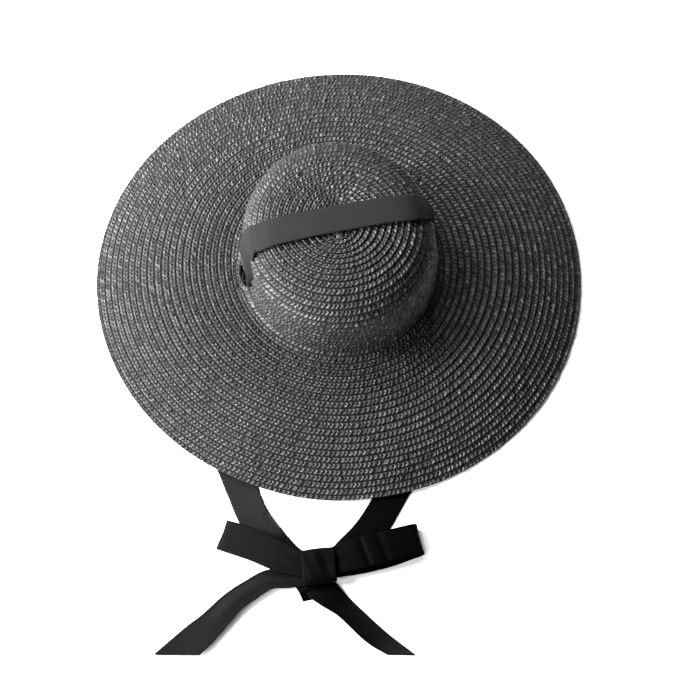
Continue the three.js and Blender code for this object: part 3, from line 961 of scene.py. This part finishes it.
TAIL_RIGHT = [
    (0, -13, 1.9, 31, 0, 24),
    (5, -19.5, 3.6, 32, -10, 27),
    (13.5, -28, 7.6, 42, -26, W),
    (27, -39.8, 10.4, 47, -42, W),
    (52.9, -63.6, 10.2, 49, -40, W),
    (80.3, -82.6, 12.6, 49, -55, W),
    (99.5, -96.2, 12.6, 49, -55, W),
]
# The right tail's root, folded back on itself under the knot
TAIL_RIGHT_FOLD = [
    (-15, -23, 1.6, 130, 0, 15),
    (-12, -21.5, 1.6, 128, 0, 17),
    (-8, -19.5, 1.8, 125, 0, 19),
    (2, -14, 2.2, 118, 0, 22),
]
# The knot: a band with rounded edges, pulled tight round the middle of the bow
KNOT_HALF = (14.8, 15.4, 6.4)  # half its width along the bow, half its length over it, half its height
KNOT_AT = (2.2, 0.3, 7.2)
KNOT_TURN = math.radians(8)
KNOT_SQUARE = 0.55  # 1 is an ellipse, less is squarer
KNOT_STATIONS = 96
KNOT_PINCH = (0.75, 0.2, 0.05)  # beside its right edge: at which side, half width, share of the length
KNOT_FALL = (-0.35, 0.5, 0.25)  # towards its left edge: from which side, how fast, how much it shortens
# Creases on its top: height, waves across, phase, and the length over which they shift along the band
KNOT_CREASES = ((0.35, 5, 0.8, math.inf), (0.25, 9, 0, 6))
KNOT_BULGE = 0.04
KNOT_SKEW = 0.03


def in_hat(points):
    """Points of the bow's own frame, in the hat's frame."""
    return points @ turn_matrix(math.radians(BOW_TURN)) + (*BOW_AT, 0)


def past_tail_cut(points):
    """How far points lie beyond the straight cut of the tails."""
    turn = math.radians(BOW_TURN)
    x, y = points[..., 0] - BOW_AT[0], points[..., 1] - BOW_AT[1]
    across = -x * math.sin(turn) + y * math.cos(turn)
    return TAIL_CUT + TAIL_CUT_SHORT - across - points[..., 2] * math.tan(math.radians(TAIL_CUT_LEAN))


def squared(value):
    """A sine or cosine as it is on a rounded square."""
    return np.sign(value) * np.abs(value) ** KNOT_SQUARE


def knot_band():
    """The band round the middle of the bow: one turn of ribbon, pulled tight."""
    angle = np.linspace(0, TAU, KNOT_STATIONS, endpoint=False)[:, None]
    side = np.linspace(-1, 1, ACROSS + 1)[None, :]
    half_x, half_y, half_z = KNOT_HALF
    pinch_at, pinch_half, pinched = KNOT_PINCH
    pinch = 1 - pinched * np.exp(-(((side - pinch_at) / pinch_half) ** 2))
    fall_from, fall_rate, shortened = KNOT_FALL
    fall = np.where(side < fall_from, (side - fall_from) ** 2 * fall_rate, 0)
    y = squared(np.cos(angle)) * half_y * pinch * (1 - shortened * fall)
    creases = sum(
        height * np.cos(waves * side + phase + y / shifts) for height, waves, phase, shifts in KNOT_CREASES
    )
    z = squared(np.sin(angle)) * half_z * (1 - fall) + np.clip(np.sin(angle), 0, 1) * creases
    x = side * half_x * (1 - KNOT_BULGE * np.cos(2 * angle)) + y * KNOT_SKEW
    band = np.stack(np.broadcast_arrays(x, y, z), -1) @ turn_matrix(KNOT_TURN)
    grid = in_hat(band + KNOT_AT)
    piece = sheet_mesh("bow_knot_cloth", grid, closed=True)
    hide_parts("bow_knot")


# The crown ribbon's stretch from the left slit up to the crease on the crown's shoulder. There it bends
# sharply, and runs down and forward, clear of the wall, into the front end of the slit.
LEG = [
    (-87.9, -1, 30.4, 90, 0, 26),
    (-87.9, -8, 33.2, 105, -12, 18),
    (-88.8, -13, 36, 125, -24, 10),
    (-89.8, -14, 39, 132, -28, 8),
    (-89.5, -11.1, 46.5, 120, -32, 13.3),
    (-89, -7.4, 58.5, 113, -31, 21),
    (-88.6, -5.5, 70, 116, -27, 23.5),
    (-86.5, -3.5, 85.5, 107, -17, 27.5),
    (-82.3, 0.8, 93.4, 98, -7, 27),
]
SHOULDER_CREASE = (77.6, 76.9)  # where the ribbon bends, between its two sides
CREASE_CLEAR = 0.9  # the ribbon runs straight to the bend, clear of the crown
CROWN_CLEAR = 0.9
CROWN_LEAN = 3  # degrees by which its front edge stands proud of the crown's round top
LEAN_FADES = (60, 88)  # the lean ends between these distances from the middle
RIGHT_END = (62, 92)  # between these, on the right, the ribbon moves back and narrows
RIGHT_BACK = 4.0
# The ribbon follows the crown from its tip to just before the bend on the left, and to just above the
# slit on the right, in this many places
TIP = 3
BEFORE_BEND = 11
ABOVE_SLIT = 4
FOLLOWED = (22, 34)
# The ribbon's way into the right slit, out from the wall's foot and up from the slit
RIGHT_ENTRY = ((1.3, 2.2), (0.4, 0.1), (-2.6, 0), (-4.9, -0.7), (-5.6, -3.6))


def spread(path, count):
    """Some places of a path, evenly picked."""
    return path[np.linspace(0, len(path) - 1, count).astype(int)]


def crown_ribbon():
    """Over the crown in the plane of the ears, out of one slit and into the other."""
    rise = math.sin(math.radians(CROWN_LEAN)) * W / 2
    distance, reach, z, oval = PROFILE
    x = reach * oval
    run = np.stack([np.gradient(x), np.gradient(z)], -1)
    out = np.stack([-run[:, 1], run[:, 0]], -1)
    out /= np.linalg.norm(out, axis=1, keepdims=True)
    lift = CROWN_CLEAR + rise * np.clip(out[:, 1], 0, 1) ** 2
    over = np.stack([x + lift * out[:, 0], z + lift * out[:, 1]], -1)

    slit = np.interp(row_inner(slit_turn(0)), distance, z)
    wall = WALL_FOOT_REACH * FOOT_OVAL
    entry = [(wall + outwards, slit + up) for outwards, up in RIGHT_ENTRY]
    near = over[(x < SHOULDER_CREASE[1] - BEFORE_BEND) & (distance > TIP)]
    far = over[(z > slit + ABOVE_SLIT) & (distance > TIP)]
    bend = [(px, np.interp(px, over[:, 0], over[:, 1]) + CREASE_CLEAR) for px in SHOULDER_CREASE]
    left = [*bend, *spread(near, FOLLOWED[0])[::-1]]
    path = [(-px, pz) for px, pz in left] + [*spread(far, FOLLOWED[1]), *entry]
    table = list(LEG)
    for px, pz in path:
        tilt = CROWN_LEAN * (1 - smooth(abs(px), *LEAN_FADES))
        right = smooth(px, *RIGHT_END)
        table.append((px, RIGHT_BACK * right, pz, 90, -tilt, W - RIGHT_BACK * right))
    stretch = Stretch(table, pleats=1, phase=0.4)
    lay_ribbon("crown_ribbon_cloth", stretch)


TIE_LEFT_CREASES = [(12.9, 0.3, 15, 0.15, -1.6, 1.3), (12.2, -0.75, 13.4, -0.6, 0.8, 2.5)]
LOOP_RIGHT_CREASES = [(9.2, -1, 9.1, 1, -1.0, 3.5), (9.85, -1, 9.75, 1, -1.1, 2.8)]


def ribbons():
    crown_ribbon()
    tie_left = Stretch(TIE_LEFT, pleats=2, phase=1.0, creases=TIE_LEFT_CREASES)
    lay_ribbon("tie_left_cloth", tie_left)
    lay_ribbon("tie_right_cloth", Stretch(TIE_RIGHT, pleats=1.5, phase=2.4))
    bow = {"turned": BOW_TURN, "moved": BOW_AT}
    loop_left = Stretch(LOOP_LEFT, pleats=2, phase=0.5, **bow)
    lay_ribbon("bow_loop_left_cloth", loop_left)
    loop_right = Stretch(LOOP_RIGHT, pleats=2, phase=1.2, creases=LOOP_RIGHT_CREASES, **bow)
    lay_ribbon("bow_loop_right_cloth", loop_right)
    tail_left = Stretch(TAIL_LEFT, pleats=1, phase=math.pi, **bow)
    lay_ribbon("bow_tail_left_cloth", tail_left, beyond=past_tail_cut)
    tail_right = Stretch(TAIL_RIGHT, pleats=1, phase=0.2, **bow)
    lay_ribbon("bow_tail_right_cloth", tail_right, beyond=past_tail_cut)
    fold = Stretch(TAIL_RIGHT_FOLD, pleats=1, phase=0.2, **bow)
    lay_ribbon("bow_tail_right_fold_cloth", fold, part="bow_tail_right")
    knot_band()


ribbons()

# ---------------------------------------------------------------- floor and light

FLOOR_HALF = 6  # metres
LIGHT_SIZE = 0.7
LIGHTS_AIM = (0, -0.03, 0.03)
# Soft square lights: name, place in metres, watts. The main ones stand on the left and behind.
LIGHTS = [
    ("key", (-1.6, 0.3, 1.0), 124),
    ("key_back", (-1.8, 1.2, 1.1), 64),
    ("back", (-0.9, 1.4, 1.6), 50),
    ("rim", (0.3, 1.9, 1.5), 30),
    ("side", (-1.5, -0.8, 0.65), 42),
    ("front", (-0.5, -1.5, 1.2), 7),
]
WORLD_STRENGTH = 0.03


def add_floor():
    corners = [(-1, -1), (1, -1), (1, 1), (-1, 1)]
    mesh = bpy.data.meshes.new("floor")
    mesh.from_pydata([(x * FLOOR_HALF, y * FLOOR_HALF, 0) for x, y in corners], [], [(0, 1, 2, 3)])
    floor = bpy.data.objects.new("floor", mesh)
    bpy.context.scene.collection.objects.link(floor)
    floor.data.materials.append(floor_material())


def add_light(name, at, power):
    data = bpy.data.lights.new(name, "AREA")
    data.shape = "SQUARE"
    data.size = LIGHT_SIZE
    data.energy = power
    light = bpy.data.objects.new(name, data)
    bpy.context.scene.collection.objects.link(light)
    light.location = at
    light.rotation_euler = (Vector(LIGHTS_AIM) - Vector(at)).to_track_quat("-Z", "Y").to_euler()


def add_world():
    world = bpy.data.worlds.new("studio")
    world.use_nodes = True
    background = world.node_tree.nodes["Background"]
    set_inputs(background, {"Color": (1, 1, 1, 1), "Strength": WORLD_STRENGTH})
    bpy.context.scene.world = world


add_floor()
for light in LIGHTS:
    add_light(*light)
add_world()
bpy.context.scene.view_settings.view_transform = "Standard"
